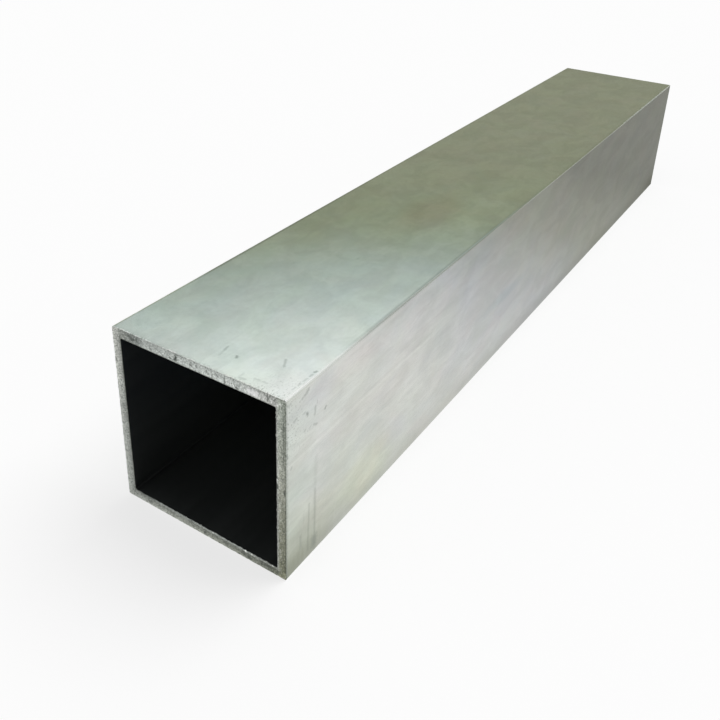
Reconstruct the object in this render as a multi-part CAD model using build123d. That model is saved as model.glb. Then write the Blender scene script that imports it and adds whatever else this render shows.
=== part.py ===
"""Square aluminium tube: a length of extruded box section, saw cut at both ends.

Millimetres, +Z up. The tube lies on one flat side with its length along Y.
The origin is the middle of that underside, so the section is centred on X = 0
and stands from Z = 0 to the outer width, and the two saw cuts lie at equal
distances along Y.
"""

import os

from build123d import *

# Cross-section, as the extrusion die leaves it
outer_width = 50.0
wall = 2.5
outer_corner_radius = 0.3
bore_corner_radius = 0.4

# Cut length, from one sawn end to the other
tube_length = 300.0


def box_section():
    """The hollow section in the XZ plane: a square frame of one even wall."""
    bore_width = outer_width - 2 * wall
    with BuildSketch(Plane.XZ) as section:
        with Locations((0, outer_width / 2)):
            RectangleRounded(outer_width, outer_width, outer_corner_radius)
            RectangleRounded(bore_width, bore_width, bore_corner_radius, mode=Mode.SUBTRACT)
    return section.sketch


def square_tube():
    """The section extruded equally to both sides of the origin, so the ends are square."""
    tube = extrude(box_section(), amount=tube_length / 2, both=True)
    tube.label = "square_tube"
    return tube


os.makedirs("parts", exist_ok=True)
export_step(square_tube(), "parts/square_tube.step")
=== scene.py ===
"""Square aluminium tube: a sawn length of box section with its mill finish, in a pale studio."""

import math

import bmesh
import bpy
from bpy.props import FloatProperty, FloatVectorProperty, IntProperty, PointerProperty
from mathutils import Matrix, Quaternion, Vector


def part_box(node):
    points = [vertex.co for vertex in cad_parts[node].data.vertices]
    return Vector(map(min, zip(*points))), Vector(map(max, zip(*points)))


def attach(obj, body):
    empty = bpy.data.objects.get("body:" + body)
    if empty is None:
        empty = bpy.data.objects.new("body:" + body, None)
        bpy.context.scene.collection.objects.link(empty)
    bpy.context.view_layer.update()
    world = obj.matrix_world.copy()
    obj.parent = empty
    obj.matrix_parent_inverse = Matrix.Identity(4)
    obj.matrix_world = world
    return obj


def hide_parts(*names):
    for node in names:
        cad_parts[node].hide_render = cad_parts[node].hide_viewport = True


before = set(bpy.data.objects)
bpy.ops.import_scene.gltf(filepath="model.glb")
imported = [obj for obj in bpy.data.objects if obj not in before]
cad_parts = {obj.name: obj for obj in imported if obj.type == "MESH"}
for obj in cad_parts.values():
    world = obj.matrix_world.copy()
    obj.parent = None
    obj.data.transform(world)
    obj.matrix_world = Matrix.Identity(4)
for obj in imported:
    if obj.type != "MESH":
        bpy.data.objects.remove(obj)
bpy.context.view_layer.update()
TUBE_LOW, TUBE_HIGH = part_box("square_tube")

bl_info = {
    "name": "Square Aluminium Tube",
    "version": (1, 0, 0),
    "blender": (4, 5, 0),
    "location": "3D View > Sidebar > Square Tube",
    "description": "Models a sawn length of square box section and gives it a mill finish",
    "category": "Add Mesh",
}

MM = 0.001
HALF_WIDTH_MM = (TUBE_HIGH.x - TUBE_LOW.x) / 2 / MM
HALF_LENGTH_MM = (TUBE_HIGH.y - TUBE_LOW.y) / 2 / MM
MID_HEIGHT_MM = (TUBE_HIGH.z + TUBE_LOW.z) / 2 / MM


# ---- Sizes and colours that a user would change


class TubeSizes(bpy.types.PropertyGroup):
    wall: FloatProperty(
        name="Wall", description="Thickness of all four sides",
        default=2.5 * MM, precision=4, unit="LENGTH",
    )
    corner_radius: FloatProperty(
        name="Corner radius", description="Radius of the four long outside corners",
        default=0.3 * MM, precision=4, unit="LENGTH",
    )
    bore_radius: FloatProperty(
        name="Bore corner radius", description="Radius of the four long inside corners",
        default=0.4 * MM, precision=4, unit="LENGTH",
    )
    saw_allowance: FloatProperty(
        name="Saw allowance",
        description="How far the flat of each sawn face lies inside the tip of its burr",
        default=0.3 * MM, precision=5, unit="LENGTH",
    )
    burr: FloatProperty(
        name="Burr",
        description="How far the larger flecks of burr stand out of the rim of the bore",
        default=0.25 * MM, precision=5, unit="LENGTH",
    )
    rim_nicks: FloatProperty(
        name="Rim nicks", description="Depth of the nicks in the outer rim of each end",
        default=0.12 * MM, precision=5, unit="LENGTH",
    )
    side_columns: IntProperty(
        name="Side columns", description="Faces across each flat side",
        default=160, min=8, max=200,
    )


class TubeFinish(bpy.types.PropertyGroup):
    mill_colour: FloatVectorProperty(
        name="Mill colour", description="Bare extruded aluminium",
        default=(0.79, 0.80, 0.775), subtype="COLOR", size=3,
    )
    sawn_colour: FloatVectorProperty(
        name="Sawn colour", description="Tint laid over the tones of the sawn walls",
        default=(1.0, 1.0, 1.0), subtype="COLOR", size=3,
    )
    # The bore's colour is painted shade of the tube's unlit inside
    bore_shade_colour: FloatVectorProperty(
        name="Bore colour", description="Dull, unlit inside of the tube",
        default=(0.108, 0.118, 0.114), subtype="COLOR", size=3,
    )
    mill_roughness: FloatProperty(
        name="Mill roughness", description="Roughness of the extruded sides",
        default=0.13, min=0.0, max=1.0, subtype="FACTOR",
    )


class StudioSettings(bpy.types.PropertyGroup):
    floor_colour: FloatVectorProperty(
        name="Floor colour", description="Plain pale floor",
        default=(0.93, 0.93, 0.93), subtype="COLOR", size=3,
    )
    floor_glow: FloatProperty(
        name="Floor glow", description="How much of the floor's white doesn't depend on its light",
        default=0.7, min=0.0, max=1.0, subtype="FACTOR",
    )
    fill: FloatProperty(
        name="Fill", description="Strength of the even light from all round",
        default=0.55,
    )
    key: FloatProperty(
        name="Key", description="Strength of the broad high lamp",
        default=1.65,
    )
    key_spread: FloatProperty(
        name="Key spread", description="How wide the high lamp looks from the floor",
        default=math.radians(40), unit="ROTATION",
    )
    lens: FloatProperty(
        name="Lens", description="Focal length of the camera in millimetres",
        default=42.862,
    )
    camera_place: FloatVectorProperty(
        name="Camera place", description="Where the camera stands",
        default=(0.11028, -0.26339, 0.15516), subtype="TRANSLATION", unit="LENGTH", size=3,
    )
    camera_azimuth: FloatProperty(
        name="Camera azimuth",
        description="Direction of the camera round the tube, from the near end",
        default=math.radians(32.776), unit="ROTATION",
    )
    camera_elevation: FloatProperty(
        name="Camera elevation", description="How far the camera looks down",
        default=math.radians(26.104), unit="ROTATION",
    )
    camera_tilt: FloatProperty(
        name="Camera tilt", description="Turn of the camera about its own line of sight",
        default=math.radians(1.582), unit="ROTATION",
    )
    camera_shift: FloatVectorProperty(
        name="Camera shift",
        description="How far the picture is off the camera's axis, as shares of its width",
        default=(0.0278, -0.16), size=2,
    )


# ---- Modelling helpers


# How much of itself an edge or normal has along a direction, to count as lying along it
ALONG = 0.9
TOUCHING = 0.01 * MM


def deselect_all():
    """Leaves nothing selected, in object mode."""
    bpy.ops.object.select_all(action="DESELECT")


def add_box(name, low, high):
    """A block between two corners, with its place in its mesh."""
    deselect_all()
    bpy.ops.mesh.primitive_cube_add(size=1, location=(low + high) / 2, scale=high - low)
    block = bpy.context.object
    block.name = block.data.name = name
    bpy.ops.object.transform_apply(location=True, rotation=True, scale=True)
    return block


def edit(piece):
    """Makes the piece the only one selected and opens it in edit mode."""
    deselect_all()
    piece.select_set(True)
    bpy.context.view_layer.objects.active = piece
    bpy.ops.object.mode_set(mode="EDIT")


def select(piece, kind, wanted):
    """In edit mode, selects only the vertices, edges or faces that wanted() accepts."""
    bpy.ops.mesh.select_mode(type={"verts": "VERT", "edges": "EDGE", "faces": "FACE"}[kind])
    bpy.ops.mesh.select_all(action="DESELECT")
    mesh = bmesh.from_edit_mesh(piece.data)
    for element in getattr(mesh, kind):
        if wanted(element):
            element.select_set(True)
    mesh.select_flush_mode()
    bmesh.update_edit_mesh(piece.data)


def finish_editing():
    """Back to object mode."""
    bpy.ops.object.mode_set(mode="OBJECT")


def runs_along(edge):
    """True for an edge that lies along the tube."""
    a, b = (v.co for v in edge.verts)
    return abs(a.y - b.y) > ALONG * (a - b).length


def lies_across(edge, shortest):
    """True for an edge that lies square to the tube and is longer than shortest."""
    a, b = (v.co for v in edge.verts)
    return abs(a.y - b.y) < TOUCHING and (a - b).length > shortest


def displace(piece, name, group, texture, strength, mid_level=0.0, direction="NORMAL"):
    """Moves the vertices of one vertex group by a texture, and applies it."""
    modifier = piece.modifiers.new(name, "DISPLACE")
    modifier.texture = texture
    modifier.texture_coords = "LOCAL"
    modifier.vertex_group = group
    modifier.direction = direction
    modifier.strength = strength
    modifier.mid_level = mid_level
    bpy.context.view_layer.objects.active = piece
    bpy.ops.object.modifier_apply(modifier=name)


def clouds(name, size, depth=2, contrast=1.0, brightness=1.0):
    """A cloud texture whose lumps are about size across, never below 0."""
    texture = bpy.data.textures.new(name, "CLOUDS")
    texture.noise_scale = size
    texture.noise_depth = depth
    texture.contrast = contrast
    texture.intensity = brightness
    texture.use_clamp = True
    return texture


# ---- The tube's mesh


CORNER_FACES = 4
WALL_ROWS = 8
END_BANDS = (0.2 * MM, 0.5 * MM, 1.0 * MM, 2.0 * MM)
LONG_BAND = 15 * MM


def skin(name, low, high, radius, bands, columns):
    """An open-ended square sleeve with rounded long corners, cut into bands and columns."""
    sleeve = add_box(name, low, high)
    edit(sleeve)
    select(sleeve, "edges", runs_along)
    bpy.ops.mesh.bevel(offset=radius, segments=CORNER_FACES, profile=0.5, affect="EDGES")
    select(sleeve, "faces", lambda face: abs(face.normal.y) > ALONG)
    bpy.ops.mesh.delete(type="FACE")
    for y in bands:
        bpy.ops.mesh.select_all(action="SELECT")
        bpy.ops.mesh.bisect(plane_co=(0, y, 0), plane_no=(0, 1, 0))
    width = high.x - low.x
    select(sleeve, "edges", lambda edge: lies_across(edge, width / 2))
    bpy.ops.mesh.subdivide(number_cuts=columns // 2 - 1)
    select(sleeve, "edges", lambda edge: lies_across(edge, 1.2 * width / columns))
    bpy.ops.mesh.subdivide(number_cuts=1)
    finish_editing()
    return sleeve


def band_places(low, high):
    """Where the sides are cut across: closely at each end, and evenly between."""
    near_ends = [low + step for step in END_BANDS] + [high - step for step in END_BANDS]
    count = round((high - low) / LONG_BAND)
    between = [low + (high - low) * i / count for i in range(1, count)]
    return sorted(near_ends + between)


def model_tube(sizes):
    """Joins an outer and an inner sleeve across both sawn ends, and roughens the sawn rims."""
    low = TUBE_LOW + Vector((0, sizes.saw_allowance, 0))
    high = TUBE_HIGH - Vector((0, sizes.saw_allowance, 0))
    inset = Vector((sizes.wall, 0, sizes.wall))
    bands = band_places(low.y, high.y)
    tube = skin("square_tube_mill", low, high, sizes.corner_radius, bands, sizes.side_columns)
    bore = skin("bore", low + inset, high - inset, sizes.bore_radius, bands, sizes.side_columns)

    edit(bore)
    bpy.ops.mesh.select_all(action="SELECT")
    bpy.ops.mesh.flip_normals()
    finish_editing()

    deselect_all()
    bore.select_set(True)
    tube.select_set(True)
    bpy.context.view_layer.objects.active = tube
    bpy.ops.object.join()
    edit(tube)
    for end in (low.y, high.y):
        select(tube, "edges", lambda e: e.is_boundary and abs(e.verts[0].co.y - end) < TOUCHING)
        bpy.ops.mesh.bridge_edge_loops(number_cuts=WALL_ROWS - 1, interpolation="LINEAR")
    bpy.ops.mesh.select_all(action="SELECT")
    bpy.ops.mesh.normals_make_consistent(inside=False)
    break_rims(tube, low, high)
    group_rims(tube, sizes, low, high)
    finish_editing()
    roughen_rims(tube, sizes)
    return tube


def off_axis(point):
    """How far a point is from the tube's axis, measured square to the sides."""
    return max(abs(point.x), abs(point.z - MID_HEIGHT_MM * MM))


def from_end(point, low, high):
    """How far along the tube a point is from the nearer sawn face."""
    return min(abs(point.y - low.y), abs(point.y - high.y))


RIM_BREAK = 0.1 * MM


def break_rims(tube, low, high):
    """Breaks the sharp edge round each sawn face, inside and out."""

    def is_rim(edge):
        if any(from_end(v.co, low, high) > TOUCHING for v in edge.verts):
            return False
        return any(abs(face.normal.y) < 1 - ALONG for face in edge.link_faces)

    select(tube, "edges", is_rim)
    bpy.ops.mesh.bevel(offset=RIM_BREAK, segments=2, profile=0.5, affect="EDGES")


def group_rims(tube, sizes, low, high):
    """Names the vertices of the sawn faces and of their two rims as vertex groups."""
    outer = TUBE_HIGH.x
    inner = outer - sizes.wall
    reach = 1.5 * RIM_BREAK

    def is_rim(vertex):
        return from_end(vertex.co, low, high) < reach

    def is_bore_rim(vertex):
        return is_rim(vertex) and off_axis(vertex.co) < inner + reach

    def is_low_or_right(vertex):
        return vertex.co.z < sizes.wall + reach or vertex.co.x > inner - reach

    wanted = {
        "sawn face": lambda v: from_end(v.co, low, high) < TOUCHING,
        "bore rim": is_bore_rim,
        "burred rim": lambda v: is_bore_rim(v) and is_low_or_right(v),
        "outer rim": lambda v: is_rim(v) and off_axis(v.co) > outer - reach,
    }
    for name, accepts in wanted.items():
        select(tube, "verts", accepts)
        bpy.ops.object.vertex_group_add()
        tube.vertex_groups.active.name = name
        bpy.ops.object.vertex_group_assign()


# Relief from its lowest to its highest point, half of it to each side of the surface
SAW_RELIEF = 0.08 * MM
RAGGED_RELIEF = 0.07 * MM
TO_BOTH_SIDES = 0.5


def roughen_rims(tube, sizes):
    """Saw marks on the ends, a burr along two sides of each bore mouth and nicks all round."""
    saw = clouds("saw_relief", 1.1 * MM, depth=3)
    displace(tube, "saw relief", "sawn face", saw, SAW_RELIEF, TO_BOTH_SIDES, "Y")
    ragged = clouds("ragged_rim", 0.5 * MM)
    displace(tube, "ragged rim", "bore rim", ragged, RAGGED_RELIEF, TO_BOTH_SIDES)
    burr = clouds("burr", 0.7 * MM, contrast=5.0, brightness=0.1)
    displace(tube, "burr", "burred rim", burr, sizes.burr)
    nicks = clouds("rim_nicks", 0.8 * MM, depth=3, contrast=4.0, brightness=0.35)
    displace(tube, "nicks", "outer rim", nicks, -sizes.rim_nicks)


# ---- Shader helpers


def node(tree, kind, inputs=None, **settings):
    """One new shader node. An input is given a number, a colour, or the socket that feeds it."""
    made = tree.nodes.new("ShaderNode" + kind)
    for name, value in settings.items():
        setattr(made, name, value)
    for name, value in (inputs or {}).items():
        socket = made.inputs[name]
        if isinstance(value, bpy.types.NodeSocket):
            tree.links.new(value, socket)
        elif socket.type == "RGBA":
            socket.default_value = (*value[:3], 1.0)
        else:
            socket.default_value = value
    return made


def calc(tree, operation, a, b=0.0, c=0.0, clamp=False):
    """The result of one Math node."""
    inputs = {0: a, 1: b, 2: c}
    return node(tree, "Math", inputs, operation=operation, use_clamp=clamp).outputs[0]


def vector_calc(tree, operation, a, b=(0, 0, 0)):
    """The outputs of one Vector Math node."""
    return node(tree, "VectorMath", {0: a, 1: b}, operation=operation).outputs


def parts(tree, vector):
    """X, Y and Z of a vector."""
    return node(tree, "SeparateXYZ", {0: vector}).outputs


def scaled(tree, vector, scale):
    """A vector with each of its parts multiplied by its own factor."""
    return vector_calc(tree, "MULTIPLY", vector, scale)[0]


def ramp(tree, value, low, high, low_value=0.0, high_value=1.0):
    """low_value where value is at most low, turning smoothly into high_value at high."""
    ends = {"From Min": low, "From Max": high, "To Min": low_value, "To Max": high_value}
    smooth = {"interpolation_type": "SMOOTHSTEP"}
    return node(tree, "MapRange", {"Value": value, **ends}, **smooth).outputs[0]


def largest(tree, values):
    """The largest of several masks."""
    total = values[0]
    for value in values[1:]:
        total = calc(tree, "MAXIMUM", total, value)
    return total


def blend(tree, factor, a, b, mode="MIX"):
    """Colour a turning into colour b as factor goes from 0 to 1."""
    inputs = {0: factor, 6: a, 7: b}
    return node(tree, "Mix", inputs, data_type="RGBA", blend_type=mode).outputs[2]


def tone(tree, value):
    """A grey of the given brightness."""
    return node(tree, "CombineColor", {0: value, 1: value, 2: value}).outputs[0]


def gradient(tree, value, stops):
    """A colour for each value, even between the given (value, colour) stops."""
    first, last = stops[0][0], stops[-1][0]
    inputs = {"Value": value, "From Min": first, "From Max": last}
    share = node(tree, "MapRange", inputs).outputs[0]
    ramp_node = node(tree, "ValToRGB", {0: share})
    elements = ramp_node.color_ramp.elements
    for _ in stops[2:]:
        elements.new(0.5)
    for element, (at, colour) in zip(elements, stops):
        element.position = (at - first) / (last - first)
        element.color = (*colour, 1.0)
    return ramp_node.outputs[0]


def noise(tree, vector, detail=2.0, roughness=0.5, distortion=0.0):
    """Seedless noise with lumps about one unit across."""
    character = {"Detail": detail, "Roughness": roughness, "Distortion": distortion}
    return node(tree, "TexNoise", {"Vector": vector, "Scale": 1.0, **character}).outputs[0]


FLOAT, VECTOR = "NodeSocketFloat", "NodeSocketVector"
POSITION = {"Position": (0, 0, 0)}


def new_group(name, inputs, *outputs, gives=FLOAT):
    """An empty node group with named sockets, and what its input and output nodes hold."""
    tree = bpy.data.node_groups.new(name, "ShaderNodeTree")
    for label, default in inputs.items():
        kind = VECTOR if isinstance(default, tuple) else FLOAT
        socket = tree.interface.new_socket(label, in_out="INPUT", socket_type=kind)
        socket.default_value = default
    for label in outputs:
        tree.interface.new_socket(label, in_out="OUTPUT", socket_type=gives)
    given = tree.nodes.new("NodeGroupInput").outputs
    return tree, given, tree.nodes.new("NodeGroupOutput").inputs


def use(tree, group, **values):
    """Places a node group, with underscores in the names of its inputs read as spaces."""
    inputs = {label.replace("_", " "): value for label, value in values.items()}
    return node(tree, "Group", inputs, node_tree=group).outputs


# ---- Effects that the materials share
#
# Positions are in millimetres from the tube's centre


def build_position():
    """Turns Object coordinates in metres into millimetres from the tube's centre."""
    tree, _, result = new_group("tube_position", {}, "Position", gives=VECTOR)
    place = node(tree, "TexCoord").outputs["Object"]
    inputs = {"Vector": place, "Location": (0, 0, -MID_HEIGHT_MM), "Scale": (1 / MM,) * 3}
    tree.links.new(node(tree, "Mapping", inputs).outputs[0], result["Position"])
    return tree


def stretched(tree, position, across, along):
    """The position in steps that are across long in X and Z, and along long in Y."""
    per_step = calc(tree, "DIVIDE", 1.0, across)
    inputs = {"X": per_step, "Y": calc(tree, "DIVIDE", 1.0, along), "Z": per_step}
    return scaled(tree, position, node(tree, "CombineXYZ", inputs).outputs[0])


def build_lines():
    """Fine lines along the tube, as the die draws them."""
    inputs = {**POSITION, "Width": 0.5, "Length": 120.0, "Detail": 2.0}
    tree, given, result = new_group("die_lines", inputs, "Lines")
    vector = stretched(tree, given["Position"], given["Width"], given["Length"])
    tree.links.new(noise(tree, vector, given["Detail"], roughness=0.6), result["Lines"])
    return tree


def build_mottle():
    """Soft cloudy patches of a given size."""
    inputs = {**POSITION, "Across": 20.0, "Along": 40.0, "Shift": 0.0, "Contrast": 0.2}
    tree, given, result = new_group("mottle", inputs, "Mask")
    vector = stretched(tree, given["Position"], given["Across"], given["Along"])
    shifted = vector_calc(tree, "ADD", vector, given["Shift"])[0]
    value = noise(tree, shifted, detail=3.0, roughness=0.55, distortion=0.6)
    low = calc(tree, "SUBTRACT", 0.5, given["Contrast"])
    high = calc(tree, "ADD", 0.5, given["Contrast"])
    tree.links.new(ramp(tree, value, low, high), result["Mask"])
    return tree


def build_edge_wear_and_painted_light():
    """Distance to the nearest long corner, and the uneven strip along it: worn and given a painted
    highlight on the mill finish, and given painted shade in the bore.
    """
    inputs = {**POSITION, "Half Width": HALF_WIDTH_MM, "Reach": 0.6}
    tree, given, result = new_group("edge_wear", inputs, "Distance", "Worn")
    x, _, z = parts(tree, given["Position"])
    dx = calc(tree, "SUBTRACT", given["Half Width"], calc(tree, "ABSOLUTE", x))
    dz = calc(tree, "SUBTRACT", given["Half Width"], calc(tree, "ABSOLUTE", z))
    squares = calc(tree, "ADD", calc(tree, "MULTIPLY", dx, dx), calc(tree, "MULTIPLY", dz, dz))
    distance = calc(tree, "SQRT", squares)
    uneven = noise(tree, scaled(tree, given["Position"], (0.8, 0.25, 0.8)), detail=3.0)
    reach = calc(tree, "MULTIPLY", given["Reach"], calc(tree, "ADD", uneven, 0.5))
    strip = ramp(tree, distance, reach, calc(tree, "MULTIPLY", reach, 0.4))
    tree.links.new(distance, result["Distance"])
    tree.links.new(strip, result["Worn"])
    return tree


def build_grains():
    """A fine crust of light and dark grains, each of one tone."""
    tree, given, result = new_group("grains", {**POSITION, "Size": 0.35}, "Tone")
    density = calc(tree, "DIVIDE", 1.0, given["Size"])
    cells = node(tree, "TexVoronoi", {"Vector": given["Position"], "Scale": density})
    tone_of_cell = node(tree, "SeparateColor", {0: cells.outputs["Color"]}).outputs[0]
    tree.links.new(tone_of_cell, result["Tone"])
    return tree


def build_wall_place():
    """Where a point lies on a sawn end: 0 at the bore to 1 outside, and on which wall."""
    sides = ("Left", "Right", "Top", "Bottom")
    tree, given, result = new_group("wall_place", {**POSITION, "Wall": 2.5}, "Across", *sides)
    x, _, z = parts(tree, given["Position"])
    off = calc(tree, "MAXIMUM", calc(tree, "ABSOLUTE", x), calc(tree, "ABSOLUTE", z))
    inner = calc(tree, "SUBTRACT", HALF_WIDTH_MM, given["Wall"])
    across = calc(tree, "DIVIDE", calc(tree, "SUBTRACT", off, inner), given["Wall"], clamp=True)
    tree.links.new(across, result["Across"])
    sure = calc(tree, "ADD", inner, calc(tree, "MULTIPLY", given["Wall"], 0.35))
    for label, axis, sign in zip(sides, (x, x, z, z), (-1.0, 1.0, 1.0, -1.0)):
        outward = calc(tree, "MULTIPLY", axis, sign)
        tree.links.new(ramp(tree, outward, inner, sure), result[label])
    return tree


# ---- Handling marks by the sawn end
#
# A row is a stroke in millimetres: its start, its end, its width and its strength. Dents have
# relief, and stains only a darker colour

# X and Y on the top
TOP_DENTS = (
    (2.55, -142.2, 2.3, -140.8, 0.6, 0.34),
    (6.35, -142.55, 6.75, -143.05, 0.65, 0.6),
    (16.0, -137.5, 17.2, -139.8, 0.6, 0.4),
    (23.85, -137.7, 23.95, -137.3, 0.6, 0.55),
)
TOP_STAINS = (
    (3.0, -144.4, 2.7, -142.5, 0.7, 0.18),
    (17.0, -140.0, 18.2, -143.4, 2.0, 0.08),
    (23.7, -145.6, 23.75, -144.6, 0.5, 0.2),
    (23.8, -143.6, 23.8, -142.9, 0.5, 0.3),
    (23.85, -141.7, 23.9, -140.6, 0.5, 0.28),
    (23.9, -139.5, 23.95, -138.6, 0.5, 0.35),
    (12.1, -148.6, 13.3, -148.4, 0.7, 0.26),
    (11.8, -148.2, 11.8, -146.8, 0.6, 0.14),
    (15.0, -147.0, 16.1, -146.9, 0.7, 0.22),
    (17.2, -146.8, 18.0, -146.9, 0.6, 0.2),
    (-21.8, -144.3, -20.4, -145.6, 1.3, 0.12),
    (2.6, -87.6, 2.6, -86.6, 0.6, 0.12),
)

# Y and height above the axis on the right side
SIDE_DENTS = (
    (-141.6, 23.2, -142.8, 22.5, 0.9, 0.42),
    (-142.1, 17.4, -141.8, 16.9, 0.65, 0.6),
    (-135.1, 14.5, -134.9, 14.8, 0.65, 0.5),
    (-149.3, 11.0, -149.1, 9.9, 0.55, 0.6),
)
SIDE_STAINS = (
    (-143.9, 22.2, -143.5, 22.3, 0.6, 0.34),
    (-139.1, 15.3, -138.9, 17.2, 0.7, 0.34),
    (-138.3, 17.8, -138.2, 18.4, 0.5, 0.22),
    (-146.8, 18.0, -145.8, 18.3, 0.6, 0.34),
    (-143.3, 18.0, -142.7, 17.9, 0.5, 0.22),
    (-139.4, 12.8, -138.3, 12.2, 0.6, 0.3),
    (-142.9, 13.1, -142.6, 13.3, 0.6, 0.26),
    (-141.1, 12.6, -140.7, 13.0, 0.5, 0.16),
    (-149.1, 13.4, -149.1, 14.3, 0.5, 0.4),
    (-147.8, 6.1, -147.5, 6.4, 0.55, 0.28),
    (-148.6, 23.0, -147.9, 23.4, 0.6, 0.26),
    (-138.3, 3.0, -138.6, -6.0, 1.4, 0.12),
    (-138.6, -6.0, -138.7, -24.0, 0.9, 0.28),
    (-138.7, -10.0, -138.7, -10.6, 0.9, 0.12),
    (-138.8, -13.4, -138.9, -14.4, 1.1, 0.2),
    (-138.7, -20.5, -138.9, -22.5, 2.0, 0.5),
    (-140.9, -8.8, -141.3, -22.5, 0.7, 0.26),
    (-142.9, -9.5, -143.1, -13.0, 0.5, 0.08),
    (-144.2, -16.0, -144.1, -19.5, 0.9, 0.26),
    (-149.5, 8.4, -84.0, 8.2, 0.5, 0.06),
)

# X and height above the axis on the sawn end, where the bright ones are painted glints on flecks
# of burr
END_STAINS = (
    (-19.8, 24.2, -18.9, 23.8, 0.8, 0.65),
    (-18.7, 23.5, -18.1, 23.8, 0.7, 0.9),
    (-17.2, 24.4, -17.1, 23.6, 0.5, 0.6),
    (-13.0, 23.3, -12.6, 23.4, 0.5, 0.4),
    (-6.9, 23.2, -6.6, 23.1, 0.55, 0.7),
    (-5.4, 23.3, -5.1, 24.0, 0.75, 1.0),
    (-0.9, 23.8, -0.7, 23.7, 0.6, 0.8),
    (0.8, 24.1, 0.9, 24.0, 0.5, 0.6),
    (8.9, 22.9, 8.8, 24.2, 0.35, 0.7),
    (12.0, 23.1, 12.3, 23.0, 0.55, 0.8),
    (24.4, 17.6, 24.5, 18.4, 0.5, 0.6),
    (24.5, 8.5, 24.5, 21.0, 0.35, 0.45),
    (24.1, 3.6, 24.2, 4.3, 0.5, 0.4),
    (24.6, 0.4, 24.6, 1.1, 0.5, 0.8),
    (24.3, -7.6, 24.3, -7.2, 0.5, 0.5),
    (23.6, -2.0, 23.5, -1.6, 0.6, 0.4),
    (22.8, 1.2, 22.7, 2.2, 0.5, 0.9),
    (22.8, 3.9, 22.7, 4.3, 0.45, 0.9),
    (-24.4, 15.6, -24.5, 16.3, 0.6, 0.6),
    (-24.0, 2.4, -23.9, 3.1, 0.8, 0.4),
    (-24.0, 4.9, -24.2, 5.4, 0.6, 0.3),
    (-24.0, 12.4, -23.9, 12.9, 0.6, 0.25),
    (-17.9, -24.1, -17.2, -24.0, 0.9, 0.6),
    (-4.4, -23.0, -3.6, -22.9, 0.9, 0.45),
    (0.6, -24.1, 0.9, -23.7, 0.9, 0.75),
    (4.2, -23.4, 4.4, -23.7, 0.8, 0.4),
    (6.8, -23.5, 7.2, -23.9, 0.8, 0.6),
    (12.4, -23.5, 13.2, -23.9, 1.0, 0.5),
    (13.8, -24.0, 14.4, -24.2, 0.8, 0.85),
    (18.2, -23.8, 20.6, -23.7, 1.1, 0.5),
)
# Painted glints on flecks of burr at the bore's rim
END_BURR_GLINTS = (
    (3.2, -22.7, 3.2, -22.5, 0.4, 0.7),
    (13.2, -22.7, 13.3, -22.5, 0.6, 1.0),
    (15.1, -22.8, 15.1, -22.6, 0.45, 0.7),
    (21.2, -22.7, 21.2, -22.5, 0.4, 0.7),
    (22.5, 3.3, 22.6, 3.5, 0.5, 0.8),
)


def add_mark(tree, position, ragged, start, end, width, depth):
    """One soft stroke from start to end, as strong as depth along its middle."""
    run = Vector(end) - Vector(start)
    to_point = vector_calc(tree, "SUBTRACT", position, start)[0]
    along = vector_calc(tree, "DOT_PRODUCT", to_point, run / run.length_squared)["Value"]
    inputs = {0: run, "Scale": calc(tree, "ADD", along, clamp=True)}
    reached = node(tree, "VectorMath", inputs, operation="SCALE").outputs[0]
    distance = vector_calc(tree, "DISTANCE", to_point, reached)["Value"]
    return ramp(tree, calc(tree, "MULTIPLY", distance, ragged), width, 0.0, 0.0, depth)


def build_marks(name, strokes):
    """Marks as one mask. A stroke has its two ends in millimetres, its width and its strength."""
    tree, given, result = new_group(name, POSITION, "Mask")
    position = given["Position"]
    uneven = noise(tree, scaled(tree, position, (2.5, 2.5, 2.5)))
    ragged = ramp(tree, uneven, 0.2, 0.8, 1.5, 0.7)
    marks = [add_mark(tree, position, ragged, *stroke) for stroke in strokes]
    tree.links.new(largest(tree, marks), result["Mask"])
    return tree


def on_top_and_side(top_marks, side_marks):
    """Strokes in space from the marks of the top and of the right side."""
    half = HALF_WIDTH_MM
    strokes = [((x0, y0, half), (x1, y1, half), *size) for x0, y0, x1, y1, *size in top_marks]
    return strokes + [((half, a, b), (half, c, d), *size) for a, b, c, d, *size in side_marks]


def on_sawn_end(marks, allowance):
    """Strokes in space from the marks of the near sawn end."""
    y = allowance - HALF_LENGTH_MM
    return [((x0, y, z0), (x1, y, z1), *size) for x0, z0, x1, z1, *size in marks]


# ---- Materials


def new_material(name):
    """A material with its Principled BSDF, ready for the nodes that feed it."""
    material = bpy.data.materials.new(name)
    material.use_nodes = True
    tree = material.node_tree
    return material, tree, tree.nodes["Principled BSDF"]


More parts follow.
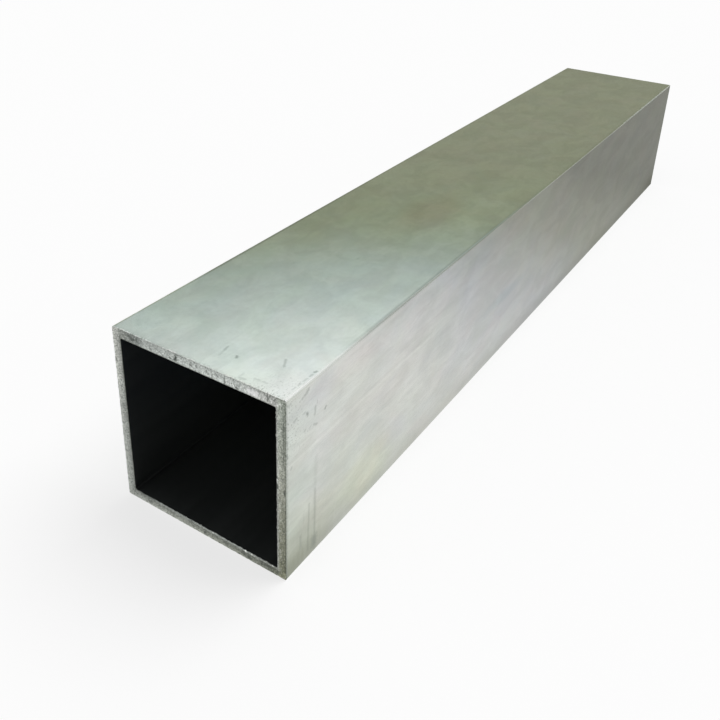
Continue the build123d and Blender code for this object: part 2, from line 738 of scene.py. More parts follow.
class Metal:
    """One finish of the tube: its nodes, its colour so far and where each point is, in mm."""

    def __init__(self, name, groups, colour):
        self.material, self.tree, self.shader = new_material(name)
        self.groups = groups
        self.colour = colour
        self.position = use(self.tree, groups["position"])["Position"]
        self.x, self.y, self.z = parts(self.tree, self.position)

    def calc(self, operation, *terms):
        return calc(self.tree, operation, *terms)

    def ramp(self, value, *ends):
        return ramp(self.tree, value, *ends)

    def where(self, **ends):
        """Where X, Y or Z is inside its own pair of ends, from none to full."""
        return self.times(*(self.ramp(getattr(self, axis), *pair) for axis, pair in ends.items()))

    def pick(self, mask, without, within):
        """One value where the mask is 0, another where it is 1."""
        return ramp(self.tree, mask, 0.0, 1.0, without, within)

    def times(self, *masks):
        """The masks multiplied together, which is where they all meet."""
        product = masks[0]
        for mask in masks[1:]:
            product = self.calc("MULTIPLY", product, mask)
        return product

    def effect(self, name, **values):
        """The outputs of one of the shared effects."""
        return use(self.tree, self.groups[name], Position=self.position, **values)

    def grain(self, lumps_per_mm, **character):
        """Noise with its own fineness along X, Y and Z."""
        return noise(self.tree, scaled(self.tree, self.position, lumps_per_mm), **character)

    def by_end(self, reach):
        """1 at either sawn end, falling to 0 at reach millimetres from it."""
        inside = self.calc("SUBTRACT", HALF_LENGTH_MM, self.calc("ABSOLUTE", self.y))
        return self.ramp(inside, reach, 0.0)

    def paint(self, colour, *masks, mode="MIX"):
        """Lays a colour over the finish where the masks meet."""
        self.colour = blend(self.tree, self.times(*masks), self.colour, colour, mode)

    def coat(self, layer, *masks):
        """Lays one layer, given as its strength and colour, where the masks meet."""
        strength, colour = layer
        self.paint(colour, *masks, strength)

    def tint(self, colour, *masks):
        """Multiplies the finish by a colour where the masks meet."""
        self.paint(colour, *masks, mode="MULTIPLY")

    def shade(self, value):
        """Multiplies the whole finish by a grey."""
        self.tint(tone(self.tree, value), 1.0)

    def finish(self, roughness, metallic, height, relief):
        """Feeds the shader, with a bump of the given relief in metres."""
        inputs = {"Height": height, "Strength": 1.0, "Distance": relief}
        bump = node(self.tree, "Bump", inputs).outputs[0]
        fed = {"Base Color": self.colour, "Roughness": roughness, "Normal": bump}
        for label, value in fed.items():
            self.tree.links.new(value, self.shader.inputs[label])
        self.shader.inputs["Metallic"].default_value = metallic
        return self.material


# ---- The milled outside
#
# Places are in millimetres: X across, Y along and Z above the axis. A pair is where a mask starts
# and where it is full


# Where a side and the top begin, and how far clouds are drawn out along the top and a side
SIDE_FACE = (24.8, 24.9)
TOP_FACE = (24.0, 24.5)
CLOUD_STRETCH = (1.3, 1.9)

# Cloudy tints: colour, size, shift and strength. Then what the broad and fine clouds do
MILL_TINTS = (
    ((0.83, 0.785, 0.795), 13.0, 0.0, 0.45),
    ((0.74, 0.81, 0.835), 10.0, 7.3, 0.42),
    ((0.76, 0.825, 0.73), 12.0, 13.1, 0.42),
)
TINT_CONTRAST = 0.22
BROAD_TONES = (0.93, 1.04)
FINE_CHANGE = (-0.025, 0.02)

# Fine detail fades along a side: from and to which Y, and how much of it is lost at each
DETAIL_LOST = (-105.0, 0.0, 0.0, 0.72)

# Strokes on the sides, and fine die lines, clearest high on the side by the near end
STROKE_CHANGE = (-0.03, 0.025)
LINE_STRENGTH = 0.012
CLEAR_LINE_STRENGTH = 0.026
CLEAR_HEIGHT = (2.0, 9.0)
CLEAR_LENGTH = (-95.0, -128.0)

# Painted contact shade low on the sides by the ends, streaked with dirt, and deeper at the foot:
# heights, reach from a sawn end, and its strength and colour
LOW_SHADE_AND_DIRT = ((-9.0, -HALF_WIDTH_MM), 34.0, (0.6, (0.36, 0.37, 0.29)))
FOOT_SHADE = ((-18.0, -23.0), 18.0, (0.45, (0.30, 0.31, 0.24)))

# Painted shade along the bottom edge: how high it starts, how uneven that is, how high it is full,
# and its coat
BOTTOM_EDGE = (6.0, 3.0, 1.0)
BOTTOM_EDGE_SHADE = (0.36, (0.34, 0.35, 0.30))

# Soft patches: middle, reach and tint
MILL_PATCHES = (
    ((25, -116, -17), (6, 18, 11), (0.985, 1.0, 0.885)),
    ((25, -33, -3.5), (6, 21, 3.2), (0.88, 0.92, 0.94)),
    ((25, -100, -1.8), (6, 40, 1.2), (0.965, 0.97, 0.97)),
    ((25, -124, 7.2), (6, 60, 0.8), (1.07, 1.07, 1.07)),
    ((25, -142, 11), (6, 15, 17), (1.1, 1.1, 1.11)),
    ((25, -142, -17), (6, 26, 10), (0.92, 0.91, 0.86)),
    ((25, -84, -16), (6, 32, 10), (0.91, 0.91, 0.92)),
    ((25, -95, 12), (6, 26, 9), (1.03, 1.03, 1.03)),
    ((25, -52, 20), (6, 27, 7), (0.885, 0.895, 0.91)),
    ((25, -2, 20), (6, 26, 7), (1.06, 1.06, 1.05)),
    ((25, -137, 20), (6, 8, 6), (0.975, 0.985, 1.015)),
    ((25, -114, 20), (6, 12, 4), (1.03, 0.99, 1.0)),
    ((4, -48, 25), (10, 21, 6), (0.93, 0.87, 0.84)),
    ((15, -36, 25), (8, 40, 6), (1.07, 1.08, 1.08)),
    ((-20, -66, 25), (10, 30, 6), (0.94, 0.95, 0.94)),
    ((-19, -143, 25), (16, 12, 6), (1.12, 1.12, 1.12)),
)

# Handled metal by the near end: its reach, the tint of the side, and a duller strip of the top
HANDLED_REACH = 24.0
HANDLED_LENGTH = (-137.6, -139.0)
HANDLED_TINT = (0.965, 0.985, 0.972)
DULL_TOP = (2.3, 1.1)
DULL_TOP_TONE = 0.94

# The sawn rim: where it is chipped in X and Z, and then the reach, the grain, and the strength and
# colour of its chips and of its tears
CHIP_PLACE = ((12.0, 21.0), (5.0, 14.0))
CHIPS = (14.0, (0.43, 0.35), (0.42, (0.22, 0.25, 0.22)))
TEARS = (1.6, (0.52, 0.42), (0.55, (0.22, 0.24, 0.21)))

# Its dark lip of painted shade, on the top and on the side
LIP_REACH = (0.8, 1.3)
LIP_STRENGTH = (0.45, 0.8)
LIP_SHADE_COLOUR = (0.28, 0.30, 0.28)
SCRATCH_COLOUR = (0.20, 0.23, 0.21)

# The long corners: their worn strip's width, how far from an end a painted highlight lies on it,
# and two lines of painted shade by it on the top, each with its distances from the corner,
# heights, lengths, and strength along the length
CORNER_WEAR = 0.5
BRIGHT_REACH = 30.0
PAINTED_CORNER_HIGHLIGHT = (0.9, (0.96, 0.97, 0.96))
CORNER_SHADE_LINES = (
    ((1.4, 0.5), (24.5, 24.8), (-132.0, -112.0), (-10.0, -100.0, 0.1, 0.36)),
    ((0.8, 0.3), (24.85, 24.93), (-128.0, -108.0), (20.0, -70.0, 0.0, 0.28)),
)
CORNER_SHADE_COLOUR = (0.20, 0.22, 0.20)

# Roughness that smudges add, and that worn corners add towards the ends, from the middle out
SMUDGED = 0.03
BLUNTED_LENGTH = (55.0, 95.0)
BLUNTED_ROUGHNESS = 0.3

# A dent's depth in heights of a die line
DENT_DEPTH = 6.0
MILL_RELIEF = 0.002 * MM


def cloud(metal, across, along, shift, contrast):
    """Soft patches of one size, as a mask. Its shift sets it apart from the other clouds."""
    inputs = {"Across": across, "Along": along, "Shift": shift, "Contrast": contrast}
    return metal.effect("mottle", **inputs)["Mask"]


def vary(metal, change, kept):
    """Lightens and darkens the finish by a small change, where detail is kept."""
    metal.shade(metal.calc("MULTIPLY_ADD", change, kept, 1.0))


def cloud_sides(metal, on_side, kept):
    """Cloudy tints and tones, drawn out along the tube."""
    stretch = metal.pick(on_side, *CLOUD_STRETCH)
    for tint, size, shift, strength in MILL_TINTS:
        mask = cloud(metal, size, metal.times(stretch, size), shift, TINT_CONTRAST)
        metal.paint(tint, mask, strength)
    broad = cloud(metal, 7.0, metal.times(stretch, 8.0), shift=21.7, contrast=0.25)
    metal.shade(metal.pick(broad, *BROAD_TONES))
    fine = cloud(metal, 1.1, metal.times(stretch, 1.1), shift=2.9, contrast=0.3)
    vary(metal, metal.pick(fine, *FINE_CHANGE), kept)


def draw_lines(metal, on_side, kept):
    """Broad strokes on the sides and fine die lines everywhere, which are given back."""
    strokes = metal.effect("lines", Width=1.6, Length=22.0)["Lines"]
    change = metal.ramp(strokes, 0.3, 0.7, *STROKE_CHANGE)
    vary(metal, metal.times(change, on_side), kept)
    lines = metal.effect("lines", Width=0.35, Length=160.0)["Lines"]
    clear = metal.times(on_side, metal.where(z=CLEAR_HEIGHT, y=CLEAR_LENGTH))
    strength = metal.calc("MULTIPLY_ADD", clear, CLEAR_LINE_STRENGTH, LINE_STRENGTH)
    vary(metal, metal.times(metal.ramp(lines, 0.3, 0.7, -0.5, 0.5), strength), kept)
    return lines


def add_patch(metal, middle, reach, tint):
    """One soft tinted patch."""
    offset = vector_calc(metal.tree, "SUBTRACT", metal.position, middle)[0]
    offset = scaled(metal.tree, offset, [1 / part for part in reach])
    distance = vector_calc(metal.tree, "LENGTH", offset)["Value"]
    metal.tint(tint, metal.ramp(distance, 1.0, 0.2))


def shade_and_soil_sides(metal, on_side, crumbs):
    """Painted shade streaked with dirt low down by the ends, painted shade along the bottom edge,
    and tinted patches.
    """
    # Painted contact shade low by the ends, streaked with dirt, deeper at the foot
    heights, reach, layer = LOW_SHADE_AND_DIRT
    drips = metal.grain((0.5, 0.9, 0.06), detail=3.0, roughness=0.6)
    drips = metal.ramp(drips, 0.3, 0.6, 0.6, 1.0)
    metal.coat(layer, metal.where(z=heights), metal.by_end(reach), drips)
    heights, reach, layer = FOOT_SHADE
    metal.coat(layer, metal.where(z=heights), metal.by_end(reach))
    # Painted shade along the bottom edge
    starts, uneven, full = BOTTOM_EDGE
    top_of_shade = metal.calc("MULTIPLY_ADD", crumbs, uneven, starts - HALF_WIDTH_MM)
    bottom_edge = metal.ramp(metal.z, top_of_shade, full - HALF_WIDTH_MM)
    metal.coat(BOTTOM_EDGE_SHADE, bottom_edge, on_side)
    for middle, reach, tint in MILL_PATCHES:
        add_patch(metal, middle, reach, tint)


def handle_end(metal, on_side):
    """Duller metal by the near end, where the tube is gripped."""
    by_end = metal.by_end(HANDLED_REACH)
    metal.tint(HANDLED_TINT, by_end, metal.where(y=HANDLED_LENGTH), on_side)
    dull = metal.times(metal.where(x=DULL_TOP), by_end, metal.where(z=TOP_FACE))
    metal.shade(metal.pick(dull, 1.0, DULL_TOP_TONE))


def mark_sides(metal, on_side, crumbs):
    """Scratches, and the chips, tears and dark lip of painted shade along the sawn rim. Gives back
    the dents.
    """
    dents = metal.effect("dents")["Mask"]
    stains = metal.effect("stains")["Mask"]
    metal.paint(SCRATCH_COLOUR, metal.calc("MAXIMUM", dents, stains))
    across, heights = CHIP_PLACE
    by_corner = metal.where(x=across, z=heights)
    reach, grain, layer = CHIPS
    metal.coat(layer, metal.by_end(reach), by_corner, metal.ramp(crumbs, *grain))
    reach, grain, layer = TEARS
    metal.coat(layer, metal.by_end(reach), metal.ramp(crumbs, *grain))
    # Painted shade along the sawn rim, as a dark lip
    lip = metal.by_end(metal.pick(on_side, *LIP_REACH))
    metal.paint(LIP_SHADE_COLOUR, lip, metal.pick(on_side, *LIP_STRENGTH))
    return dents


def paint_corner_light_and_wear(metal):
    """A painted highlight on the worn corners by the ends, with lines of painted shade by them.
    Gives back the worn strip.
    """
    corner = metal.effect("edge_wear", Reach=CORNER_WEAR)
    # A painted highlight along each worn corner near the ends
    metal.coat(PAINTED_CORNER_HIGHLIGHT, corner["Worn"], metal.by_end(BRIGHT_REACH))
    # Lines of painted shade beside the top corners
    for distances, heights, lengths, strengths in CORNER_SHADE_LINES:
        metal.paint(
            CORNER_SHADE_COLOUR,
            metal.ramp(corner["Distance"], *distances),
            metal.where(z=heights),
            metal.where(y=lengths),
            metal.where(y=strengths),
        )
    return corner["Worn"]


def mill_material(finish, groups):
    """Extruded sides: soft sheen, faint die lines, cloudy tints and handling marks, with painted
    shade low down, along the sawn rim and beside the top corners, and a painted highlight on the
    worn corners by the ends.
    """
    metal = Metal("mill_aluminium", groups, finish.mill_colour)
    on_side = metal.ramp(metal.calc("ABSOLUTE", metal.x), *SIDE_FACE)
    lost = metal.times(on_side, metal.where(y=DETAIL_LOST))
    kept = metal.calc("SUBTRACT", 1.0, lost)
    crumbs = metal.grain((2.4, 1.4, 1.8), roughness=0.7)
    cloud_sides(metal, on_side, kept)
    lines = draw_lines(metal, on_side, kept)
    shade_and_soil_sides(metal, on_side, crumbs)
    handle_end(metal, on_side)
    dents = mark_sides(metal, on_side, crumbs)
    strip = paint_corner_light_and_wear(metal)

    smudges = cloud(metal, across=11.0, along=13.0, shift=3.7, contrast=0.3)
    smooth = metal.calc("MULTIPLY_ADD", smudges, SMUDGED, finish.mill_roughness - SMUDGED / 2)
    blunted = metal.ramp(metal.calc("ABSOLUTE", metal.y), *BLUNTED_LENGTH)
    roughness = metal.calc("ADD", smooth, metal.times(strip, blunted, BLUNTED_ROUGHNESS))
    height = metal.calc("MULTIPLY_ADD", dents, -DENT_DEPTH, lines)
    return metal.finish(roughness, 1.0, height, MILL_RELIEF)


# ---- The sawn ends


# Tones of the top and bottom walls at each X, and of the side walls at each height
TOP_WALL = (
    (-22.0, (0.28, 0.295, 0.27)),
    (-17.0, (0.255, 0.275, 0.26)),
    (-14.5, (0.475, 0.505, 0.48)),
    (8.0, (0.565, 0.60, 0.57)),
    (14.0, (0.60, 0.63, 0.60)),
    (20.5, (0.49, 0.50, 0.475)),
)
RIGHT_WALL = (
    (-22.0, (0.245, 0.25, 0.18)),
    (-8.0, (0.31, 0.32, 0.25)),
    (2.0, (0.42, 0.435, 0.37)),
    (20.0, (0.38, 0.415, 0.36)),
)
LEFT_WALL = (
    (-20.0, (0.375, 0.395, 0.365)),
    (2.0, (0.38, 0.395, 0.37)),
    (12.0, (0.505, 0.52, 0.485)),
    (20.0, (0.465, 0.475, 0.445)),
)
BOTTOM_WALL = (
    (-20.0, (0.34, 0.355, 0.325)),
    (0.0, (0.295, 0.31, 0.27)),
    (20.0, (0.19, 0.20, 0.163)),
)

# Tone across a wall, from the bore to the outside
TOP_AND_RIGHT_FALL = (1.1, 0.9)
LEFT_RISE = (0.72, 1.25)
BOTTOM_RISE = (0.63, 1.42)

# Dark pits and pale flecks: their part of the speckle, strength and colour. Then the crust
PITS = ((0.5, 0.34), (0.85, (0.07, 0.08, 0.07)))
FLECKS = ((0.56, 0.68), (0.5, (0.85, 0.87, 0.84)))
GRAIN_SIZE = 0.28
GRAIN_TONES = (0.75, 1.22)

# Where the saw's strokes show on the top wall, how strongly they do on the right wall, and how
# they thin out from the bore to the rim: from and to where, and how much on the right and top
COMB_STARTS = (6.0, 11.0)
COMB_ON_RIGHT = 0.5
COMB_THINS = (0.35, 1.0)
COMB_THINNER = (0.07, 0.045)

# The dark part of the strokes, and a painted shine between them where it lies across the wall.
# Then a painted sheen on a polished spot of the top wall, with its X and half its length. Each
# ends in strength and colour
COMB = ((0.42, 0.34), (0.68, (0.09, 0.10, 0.085)))
SHINE = ((0.53, 0.62), (0.75, 0.3), (0.6, (0.92, 0.93, 0.91)))
PAINTED_SHEEN_SPOT = (16.6, (2.2, 0.8), (1.0, 0.5), (0.6, (0.93, 0.92, 0.93)))

# A line of painted shade along the outer rim, and one round the bore, wider by the bottom wall and
# darker by the left and bottom walls
RIM = ((0.86, 0.96), (0.6, (0.12, 0.135, 0.11)))
RIM_ON_RIGHT = 0.7
RIM_ON_TOP = 0.3
BORE_RIM_WIDTH = (0.14, 0.3)
BORE_RIM_FULL = 0.05
BORE_RIM_STRENGTH = (0.45, 0.8)
BORE_RIM_SHADE_COLOUR = (0.07, 0.08, 0.065)
END_STAIN_COLOUR = (0.06, 0.07, 0.06)
# Painted glints on flecks of burr
BURR_GLINT_COLOUR = (0.95, 0.97, 0.93)

SAWN_ROUGHNESS = (0.55, 0.42)
SAWN_RELIEF = 0.05 * MM


def tone_walls(metal, wall, pale, tint):
    """Each wall's own tones along it, and its rise or fall towards the outside."""
    tree = metal.tree
    metal.colour = gradient(tree, metal.x, TOP_WALL)
    metal.paint(gradient(tree, metal.z, LEFT_WALL), wall["Left"])
    metal.paint(gradient(tree, metal.x, BOTTOM_WALL), wall["Bottom"])
    metal.paint(gradient(tree, metal.z, RIGHT_WALL), wall["Right"])
    metal.tint(tint, 1.0)
    at_bore, at_rim = (
        metal.pick(wall["Bottom"], left, bottom) for left, bottom in zip(LEFT_RISE, BOTTOM_RISE)
    )
    fall = tone(tree, metal.pick(wall["Across"], *TOP_AND_RIGHT_FALL))
    rise = tone(tree, metal.pick(wall["Across"], at_bore, at_rim))
    metal.tint(blend(tree, pale, fall, rise), 1.0)


def pit_walls(metal, speckle):
    """Dark pits, pale flecks and a fine crust."""
    for speckles, layer in (PITS, FLECKS):
        metal.coat(layer, metal.ramp(speckle, *speckles))
    grains = metal.effect("grains", Size=GRAIN_SIZE)["Tone"]
    metal.shade(metal.pick(grains, *GRAIN_TONES))


def comb_walls(metal, wall, strokes):
    """The saw's short strokes on the top and right walls, with a painted shine beside the bore and
    a painted sheen on a polished spot of the top wall.
    """
    across = wall["Across"]
    on_top = metal.times(wall["Top"], metal.where(x=COMB_STARTS))
    combed = largest(metal.tree, [on_top, metal.times(wall["Right"], COMB_ON_RIGHT)])
    thinned = metal.ramp(across, *COMB_THINS, 0.0, metal.pick(wall["Top"], *COMB_THINNER))
    part, layer = COMB
    metal.coat(layer, metal.ramp(metal.calc("SUBTRACT", strokes, thinned), *part), combed)
    # A painted shine between the saw's strokes
    part, place, layer = SHINE
    metal.coat(layer, metal.ramp(strokes, *part), combed, metal.ramp(across, *place))
    # A painted sheen on a polished spot of the top wall
    x, reach, place, layer = PAINTED_SHEEN_SPOT
    from_sheen_spot = metal.calc("ABSOLUTE", metal.calc("SUBTRACT", metal.x, x))
    metal.coat(layer, metal.ramp(from_sheen_spot, *reach), wall["Top"], metal.ramp(across, *place))


def line_rims(metal, wall, pale):
    """Stains, dark lines of painted shade along both rims and painted glints on flecks of burr."""
    across = wall["Across"]
    metal.paint(END_STAIN_COLOUR, metal.effect("end_stains")["Mask"])
    # A line of painted shade along the outer rim
    dark_walls = [metal.times(wall["Right"], RIM_ON_RIGHT), metal.times(wall["Top"], RIM_ON_TOP)]
    place, layer = RIM
    metal.coat(layer, metal.ramp(across, *place), largest(metal.tree, dark_walls))
    # Painted shade round the bore's rim
    bore_rim = metal.ramp(across, metal.pick(wall["Bottom"], *BORE_RIM_WIDTH), BORE_RIM_FULL)
    metal.paint(BORE_RIM_SHADE_COLOUR, bore_rim, metal.pick(pale, *BORE_RIM_STRENGTH))
    # Painted glints on flecks of burr round the bore
    metal.paint(BURR_GLINT_COLOUR, metal.effect("end_flecks")["Mask"])


def sawn_material(finish, groups, wall_width):
    """Sawn ends: pitted and speckled, with short strokes of the saw near the outer rim."""
    metal = Metal("sawn_aluminium", groups, finish.sawn_colour)
    wall = metal.effect("wall_place", Wall=wall_width)
    speckle = metal.grain((2.6, 2.6, 2.6), detail=3.0, roughness=0.85)
    strokes = metal.grain((3.0, 1.0, 0.6), roughness=0.7, distortion=0.3)
    pale = largest(metal.tree, [wall["Left"], wall["Bottom"]])
    tone_walls(metal, wall, pale, finish.sawn_colour)
    pit_walls(metal, speckle)
    comb_walls(metal, wall, strokes)
    line_rims(metal, wall, pale)
    roughness = metal.ramp(speckle, 0.3, 0.7, *SAWN_ROUGHNESS)
    return metal.finish(roughness, 1.0, metal.calc("ADD", speckle, strokes), SAWN_RELIEF)


# ---- The bore


# Its upper part's heights and colour, and the strength and colour of its other parts. All are
# painted shade of the tube's unlit inside: bluer in its upper part, with lighter streaks along the
# die lines, and deeper by the mouths and in the long corners
BORE_UPPER_HEIGHT = (-20.0, 15.0)
BORE_UPPER = (0.094, 0.109, 0.136)
BORE_STREAKS = (0.3, (0.13, 0.14, 0.13))
BORE_MOUTH_REACH = 40.0
BORE_MOUTH_SHADE = (0.8, (0.04, 0.045, 0.045))
BORE_CORNER_SHADE = (0.35, (0.02, 0.02, 0.02))
BORE_ROUGHNESS = (0.46, 0.54)
BORE_METALLIC = 0.9
BORE_RELIEF = 0.004 * MM


def bore_material(finish, groups, wall_width):
    """Inside of the tube: dull, and painted dark as the shade of its unlit inside, with the same
    die lines and deeper painted shade in its corners and by its mouths.
    """
    metal = Metal("dark_bore", groups, finish.bore_shade_colour)
    metal.paint(BORE_UPPER, metal.where(z=BORE_UPPER_HEIGHT))
    lines = metal.effect("lines", Width=1.5, Length=60.0)["Lines"]
    strength, colour = BORE_STREAKS
    metal.paint(colour, metal.ramp(lines, 0.35, 0.65, 0.0, strength))
    # Deeper painted shade by each mouth of the bore
    metal.coat(BORE_MOUTH_SHADE, metal.by_end(BORE_MOUTH_REACH))
    half_bore = HALF_WIDTH_MM - wall_width
    # Painted shade in the bore's long corners
    metal.coat(BORE_CORNER_SHADE, metal.effect("edge_wear", Half_Width=half_bore, Reach=1.0)["Worn"])
    roughness = metal.ramp(lines, 0.3, 0.7, *BORE_ROUGHNESS)
    return metal.finish(roughness, BORE_METALLIC, lines, BORE_RELIEF)


# The slots of the tube's materials. A face is sawn from this much of its normal along the tube,
# and in the bore up to this far out from the bore's sides
MILLED, SAWN, BORE = range(3)
SAWN_FROM = 0.35
BORE_MARGIN = 0.6 * MM


def assign_materials(tube, sizes, materials):
    """Mill finish outside, sawn metal on the ends and the dark finish in the bore."""
    for material in materials:
        tube.data.materials.append(material)
    inner = TUBE_HIGH.x - sizes.wall

    def is_sawn(face):
        return abs(face.normal.y) > SAWN_FROM

    def is_bore(face):
        middle = face.calc_center_median()
        return not is_sawn(face) and off_axis(middle) < inner + BORE_MARGIN

    edit(tube)
    for index, wanted in ((SAWN, is_sawn), (BORE, is_bore)):
        select(tube, "faces", wanted)
        tube.active_material_index = index
        bpy.ops.object.material_slot_assign()
    finish_editing()


# ---- Operators


SMOOTH_ANGLE = math.radians(35)


class BOXSECTION_OT_tube(bpy.types.Operator):
    """Model the sawn length of box section and give it its three finishes"""

    bl_idname = "box_section.tube"
    bl_label = "Square tube"

    def execute(self, context):
        sizes = context.scene.tube_sizes
        finish = context.scene.tube_finish
        allowance = sizes.saw_allowance / MM
        wall = sizes.wall / MM
        groups = {
            "position": build_position(),
            "lines": build_lines(),
            "mottle": build_mottle(),
            "edge_wear": build_edge_wear_and_painted_light(),
            "dents": build_marks("dents", on_top_and_side(TOP_DENTS, SIDE_DENTS)),
            "stains": build_marks("stains", on_top_and_side(TOP_STAINS, SIDE_STAINS)),
            "end_stains": build_marks("end_stains", on_sawn_end(END_STAINS, allowance)),
            "end_flecks": build_marks("end_flecks", on_sawn_end(END_BURR_GLINTS, allowance)),
            "grains": build_grains(),
            "wall_place": build_wall_place(),
        }
        tube = model_tube(sizes)
        materials = (
            mill_material(finish, groups),
            sawn_material(finish, groups, wall),
            bore_material(finish, groups, wall),
        )
        assign_materials(tube, sizes, materials)
        bpy.ops.object.shade_smooth_by_angle(angle=SMOOTH_ANGLE)
        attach(tube, "root")
        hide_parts("square_tube")
        return {"FINISHED"}


FLOOR_SIZE = 12.0
FLOOR_GAP = 0.05 * MM
CARD_LIFT = 0.4 * MM
CARD_SIDES = 180
KEY_DIRECTION = Vector((0.25, 0.45, 0.857))

# A round card about the tube: its circle, its colour at each height beyond the far end, how much
# higher those colours stand in the middle, and its pale colour at its foot, on the right and
# behind the near end
WALL_CARD_MIDDLE = Vector((0.18, 0.18, 0))
WALL_CARD_RADIUS = 1.5
WALL_CARD_HEIGHT = 1.7
WALL_CARD_LEAN = 0.27
WALL_CARD_LEAN_FROM = (-0.40, 0.05)
WALL_CARD_LEAN_TO = (1.05, 0.75)
WALL_CARD_PALE = (0.86, 0.87, 0.86)
WALL_CARD_PALE_PARTS = (("Z", 0.25, 0.0), ("X", 1.06, 1.22), ("Y", 0.5, -0.1))
WALL_CARD_COLOURS = (
    (0.62, (0.295, 0.306, 0.221)),
    (0.80, (0.28, 0.312, 0.196)),
    (0.90, (0.435, 0.512, 0.49)),
    (1.00, (0.57, 0.645, 0.605)),
    (1.15, (0.91, 0.975, 0.95)),
    (1.35, (1.00, 1.00, 1.00)),
)

# A flat card on the floor at each side of the tube: its corners, its colour at each Y, the even
# colour that it has farther out than the given distances, and where the left one fades out
FLOOR_CARD_CORNERS = {
    "right": (Vector((0.02, -0.6, CARD_LIFT)), Vector((1.6, 1.0, CARD_LIFT))),
    "left": (Vector((-1.2, -0.145, CARD_LIFT)), Vector((-0.02, 1.0, CARD_LIFT))),
}
FLOOR_CARD_FAR_FROM = (0.08, 0.16)
FLOOR_CARD_FAR = (0.72, 0.73, 0.70)
FLOOR_CARD_WHITE_FROM = (-0.03, -0.14)
FLOOR_CARD_COLOURS = (
    (-0.14, (0.72, 0.73, 0.69)),
    (-0.07, (0.77, 0.765, 0.745)),
    (0.00, (0.56, 0.563, 0.575)),
    (0.07, (0.368, 0.369, 0.328)),
    (0.15, (0.256, 0.256, 0.23)),
)


def plain_material(name, colour):
    """A plain matt finish, and its tree and shader."""
    material, tree, shader = new_material(name)
    shader.inputs["Base Color"].default_value = (*colour, 1.0)
    shader.inputs["Roughness"].default_value = 1.0
    shader.inputs["Specular IOR Level"].default_value = 0.0
    return material, tree, shader


def seen_directly(tree):
    """1 for what the camera sees, straight or in metal or glass, and 0 for what gives light."""
    rays = node(tree, "LightPath").outputs
    return largest(tree, [rays[f"Is {kind} Ray"] for kind in ("Camera", "Glossy", "Transmission")])


WHITE = (1.0, 1.0, 1.0)
BLACK = (0.0, 0.0, 0.0)


def add_floor(studio):
    """A pale floor that keeps the tube's shadow but never turns grey for want of light."""
    deselect_all()
    bpy.ops.mesh.primitive_plane_add(size=FLOOR_SIZE, location=(0, 0, TUBE_LOW.z - FLOOR_GAP))
    floor = bpy.context.object
    floor.name = "studio_floor"
    material, tree, shader = plain_material("studio_floor", studio.floor_colour)
    glow = node(tree, "Emission", {"Color": WHITE, "Strength": 1.0})
    share = calc(tree, "MULTIPLY", seen_directly(tree), studio.floor_glow)
    mix = node(tree, "MixShader", {0: share, 1: shader.outputs[0], 2: glow.outputs[0]})
    tree.links.new(mix.outputs[0], tree.nodes["Material Output"].inputs["Surface"])
    floor.data.materials.append(material)


def card_material(name, colour_at):
    """A card that glows evenly, with the colour that colour_at() gives for each place."""
    material, tree, _ = plain_material(name, BLACK)
    place = parts(tree, node(tree, "TexCoord").outputs["Object"])
    glow = node(tree, "Emission", {"Color": colour_at(tree, place), "Strength": 1.0})
    tree.links.new(glow.outputs[0], tree.nodes["Material Output"].inputs["Surface"])
    return material


def wall_card_colour(tree, place):
    """Tones by height that stand higher in the middle, and the pale parts round them."""
    lean_starts = ramp(tree, place["X"], *WALL_CARD_LEAN_FROM)
    lean_ends = ramp(tree, place["X"], *WALL_CARD_LEAN_TO)
    leaning = calc(tree, "MULTIPLY", lean_starts, lean_ends)
    height = calc(tree, "MULTIPLY_ADD", leaning, -WALL_CARD_LEAN, place["Z"])
    pale = largest(tree, [ramp(tree, place[axis], *ends) for axis, *ends in WALL_CARD_PALE_PARTS])
    return blend(tree, pale, gradient(tree, height, WALL_CARD_COLOURS), WALL_CARD_PALE)


def floor_card_colour(tree, place):
    """Tones by Y beside the tube, one tone farther out, and white at the left card's end."""
    out = calc(tree, "ABSOLUTE", place["X"])
    colour = gradient(tree, place["Y"], FLOOR_CARD_COLOURS)
    colour = blend(tree, ramp(tree, out, *FLOOR_CARD_FAR_FROM), colour, FLOOR_CARD_FAR)
    left = calc(tree, "LESS_THAN", place["X"], 0.0)
    faded = calc(tree, "MULTIPLY", left, ramp(tree, place["Y"], *FLOOR_CARD_WHITE_FROM))
    return blend(tree, faded, colour, WHITE)


def finish_card(card, name, material):
    """The card shapes what the metal reflects, and is neither seen nor lights anything."""
    card.name = name
    bpy.ops.object.transform_apply(location=True, rotation=True, scale=True)
    card.data.materials.append(material)
    for kind in ("camera", "diffuse", "transmission", "shadow"):
        setattr(card, f"visible_{kind}", False)


def add_cards():
    """Cards of the right tones all round, because bare metal shows only what is round it."""
    deselect_all()
    bpy.ops.mesh.primitive_cylinder_add(
        vertices=CARD_SIDES,
        radius=WALL_CARD_RADIUS,
        depth=WALL_CARD_HEIGHT,
        location=WALL_CARD_MIDDLE + Vector((0, 0, WALL_CARD_HEIGHT / 2)),
        end_fill_type="NOTHING",
    )
    finish_card(bpy.context.object, "wall_card", card_material("wall_card", wall_card_colour))

    material = card_material("floor_card", floor_card_colour)
    for side, (low, high) in FLOOR_CARD_CORNERS.items():
        deselect_all()
        bpy.ops.mesh.primitive_plane_add(size=1, location=(low + high) / 2)
        card = bpy.context.object
        card.scale = high - low
        finish_card(card, f"floor_card_{side}", material)


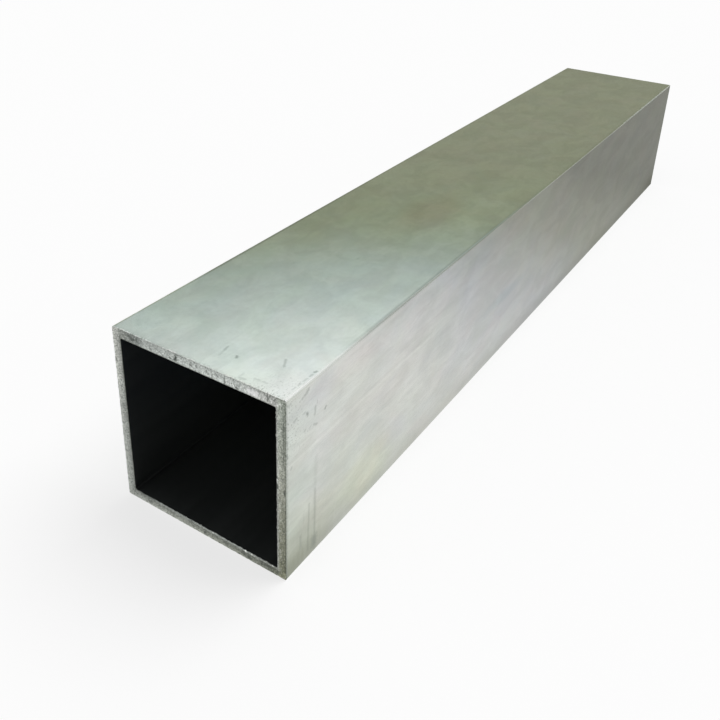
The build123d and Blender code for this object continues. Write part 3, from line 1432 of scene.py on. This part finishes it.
def add_light(studio):
    """An even white room, softer as a light than it looks, and one broad high lamp."""
    world = bpy.data.worlds.new("studio")
    bpy.context.scene.world = world
    world.use_nodes = True
    tree = world.node_tree
    background = tree.nodes["Background"]
    background.inputs["Color"].default_value = (*WHITE, 1.0)
    strength = calc(tree, "MULTIPLY_ADD", seen_directly(tree), 1.0 - studio.fill, studio.fill)
    tree.links.new(strength, background.inputs["Strength"])

    deselect_all()
    bpy.ops.object.light_add(type="SUN", location=KEY_DIRECTION)
    key = bpy.context.object
    key.name = "key_lamp"
    key.rotation_mode = "QUATERNION"
    key.rotation_quaternion = KEY_DIRECTION.to_track_quat("Z", "Y")
    key.data.energy = studio.key
    key.visible_glossy = False
    key.data.angle = studio.key_spread


NEAREST_SEEN = 0.01


def add_camera(studio):
    """A camera turned by azimuth and elevation, and then about its own line of sight."""
    camera_data = bpy.data.cameras.new("camera")
    camera = bpy.data.objects.new("camera", camera_data)
    bpy.context.scene.collection.objects.link(camera)
    azimuth, elevation = studio.camera_azimuth, studio.camera_elevation
    back = Vector((
        math.sin(azimuth) * math.cos(elevation),
        -math.cos(azimuth) * math.cos(elevation),
        math.sin(elevation),
    ))
    camera.location = studio.camera_place
    camera.rotation_mode = "QUATERNION"
    aim = (-back).to_track_quat("-Z", "Y")
    camera.rotation_quaternion = aim @ Quaternion((0, 0, 1), studio.camera_tilt)
    camera_data.lens = studio.lens
    camera_data.shift_x, camera_data.shift_y = studio.camera_shift
    camera_data.clip_start = NEAREST_SEEN
    bpy.context.scene.camera = camera


class BOXSECTION_OT_stage(bpy.types.Operator):
    """Lay the floor, light it and stand the camera"""

    bl_idname = "box_section.stage"
    bl_label = "Stage"

    def execute(self, context):
        studio = context.scene.tube_studio
        context.scene.view_settings.view_transform = "Standard"
        add_floor(studio)
        add_cards()
        add_light(studio)
        add_camera(studio)
        return {"FINISHED"}


class BOXSECTION_PT_panel(bpy.types.Panel):
    """The two operators, each above the sizes and colours that it reads"""

    bl_idname = "BOXSECTION_PT_panel"
    bl_label = "Square Tube"
    bl_space_type = "VIEW_3D"
    bl_region_type = "UI"
    bl_category = "Square Tube"

    def draw(self, context):
        for settings, operator in (
            ((context.scene.tube_sizes, context.scene.tube_finish), BOXSECTION_OT_tube),
            ((context.scene.tube_studio,), BOXSECTION_OT_stage),
        ):
            box = self.layout.box()
            box.operator(operator.bl_idname)
            for group in settings:
                for name in group.__annotations__:
                    box.prop(group, name)


SETTINGS = {"tube_sizes": TubeSizes, "tube_finish": TubeFinish, "tube_studio": StudioSettings}
CLASSES = (*SETTINGS.values(), BOXSECTION_OT_tube, BOXSECTION_OT_stage, BOXSECTION_PT_panel)


def register():
    for cls in CLASSES:
        bpy.utils.register_class(cls)
    for name, group in SETTINGS.items():
        setattr(bpy.types.Scene, name, PointerProperty(type=group))


def unregister():
    for name in SETTINGS:
        delattr(bpy.types.Scene, name)
    for cls in reversed(CLASSES):
        bpy.utils.unregister_class(cls)


def main():
    """Builds the tube and its stage."""
    register()
    bpy.ops.box_section.tube()
    bpy.ops.box_section.stage()


if __name__ == "__main__":
    main()
